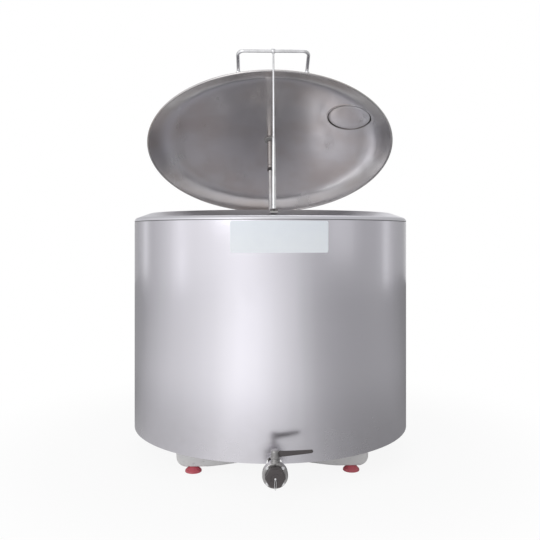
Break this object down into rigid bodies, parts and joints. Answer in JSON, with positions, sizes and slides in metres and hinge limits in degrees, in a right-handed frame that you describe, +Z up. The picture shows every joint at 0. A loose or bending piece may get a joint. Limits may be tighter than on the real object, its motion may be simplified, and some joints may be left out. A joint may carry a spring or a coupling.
{
  "type": "milk cooling tank",
  "caption": "Round upright milk cooling tank with a tilting dished lid on a prop rod, a stirrer, a bottom outlet valve and a condensing unit behind.",
  "frame": {"origin": "on the tank's axis at floor level", "axes": "+Z up along the tank's axis, -Y to the front with the outlet, +X to the right seen from the front"},
  "size_m": [1.0999, 1.6732, 1.5006],
  "materials": {
    "brushed_shell": "brushed, lengthwise round the wall",
    "deck_steel": "satin",
    "vessel_steel": "smooth milk side",
    "lid_steel": "satin with polished knuckle",
    "bright_steel": "bright",
    "fitting_steel": "machined",
    "frame_paint": "light grey satin",
    "red_rubber": "matt red",
    "white_foam": "closed-cell foam",
    "dark_plastic": "dark grey moulded",
    "black_rubber": "matt",
    "black_enamel": "semi-gloss black",
    "alloy": "plain",
    "copper_pipe": "copper",
    "box_plastic": "light grey moulded"
  },
  "bodies": {
    "tank": {"outer_shell": "brushed_shell", "bottom_plate": "brushed_shell", "top_deck": "deck_steel", "inner_vessel": "vessel_steel", "evaporator_plate": "vessel_steel", "outlet_pipe": "vessel_steel", "insulation_foam": "white_foam", "front_beam": "frame_paint", "rear_beams": "frame_paint", "base_rails": "frame_paint", "rubber_feet": "red_rubber", "foot_bolts": "bright_steel", "hinge_bracket": "fitting_steel", "hinge_pins": "bright_steel", "prop_seat": "fitting_steel", "valve_body_rear": "fitting_steel", "valve_body_front": "fitting_steel", "valve_liner": "black_rubber", "valve_bolts": "bright_steel", "unit_tray": "frame_paint", "compressor_mounts": "black_rubber", "compressor": "black_enamel", "condenser_frame": "alloy", "condenser_fins": "alloy", "fan_shroud": "black_enamel", "fan_motor": "black_enamel", "motor_bracket": "fitting_steel", "liquid_receiver": "black_enamel", "filter_drier": "copper_pipe", "suction_line": "copper_pipe", "refrigerant_lines": "copper_pipe", "control_box": "box_plastic", "control_box_lid": "box_plastic", "cable_glands": "dark_plastic"},
    "lid": {"lid_shell": "lid_steel", "lid_bead": "lid_steel", "handle": "bright_steel", "hinge_arms": "fitting_steel", "hatch_collar": "lid_steel", "drive_plate": "fitting_steel", "drive_bolts": "bright_steel", "gearbox": "alloy", "stirrer_motor": "alloy", "motor_cowl": "dark_plastic", "terminal_box": "dark_plastic", "shaft_seal": "black_rubber"},
    "prop": {"prop_tip": "black_rubber", "prop_tube": "bright_steel", "prop_rod": "bright_steel"},
    "stirrer": {"stirrer_shaft": "bright_steel", "drive_sleeve": "bright_steel", "clamp_collar": "fitting_steel", "stirrer_paddle": "bright_steel"},
    "hatch": {"hatch_cover": "lid_steel", "hatch_knob": "dark_plastic"},
    "valve_handle": {"valve_disc": "fitting_steel", "valve_lever": "dark_plastic"},
    "cap": {"outlet_cap": "dark_plastic"},
    "fan": {"fan_blades": "alloy"},
    "selector": {"selector_knob": "dark_plastic"}
  },
  "joints": [
    {"name": "lid_hinge", "type": "hinge", "parent": "tank", "child": "lid", "pos_m": [0, 0.584, 0.93759], "axis": [1, 0, 0], "range_deg": [0, 27.3]},
    {"name": "prop_swing", "type": "hinge", "parent": "lid", "child": "prop", "pos_m": [0, -0.45504, 1.48963], "axis": [-1, 0, 0], "range_deg": [0, 114.76]},
    {"name": "stirrer_spin", "type": "hinge", "parent": "lid", "child": "stirrer", "pos_m": [0, 0.06505, 1.20544], "axis": [0, 0.4587, 0.8886], "continuous": true},
    {"name": "hatch_lift", "type": "slide", "parent": "lid", "child": "hatch", "axis": [0, 0.4587, 0.8886], "range_m": [0, 0.12]},
    {"name": "valve_turn", "type": "hinge", "parent": "tank", "child": "valve_handle", "pos_m": [0, -0.646, 0.096], "axis": [0, 0, -1], "range_deg": [0, 90]},
    {"name": "cap_off", "type": "slide", "parent": "tank", "child": "cap", "axis": [0, -1, 0], "range_m": [0, 0.06]},
    {"name": "fan_spin", "type": "hinge", "parent": "tank", "child": "fan", "pos_m": [0.11, 0.8645, 0.254], "axis": [0, 1, 0], "continuous": true},
    {"name": "selector_turn", "type": "hinge", "parent": "tank", "child": "selector", "pos_m": [0.05, 0.68, 0.628], "axis": [0, 1, 0], "range_deg": [-60, 60]}
  ],
  "couplings": [
    {"joint": "prop_swing", "follows": "lid_hinge", "ratio": 4.2}
  ]
}
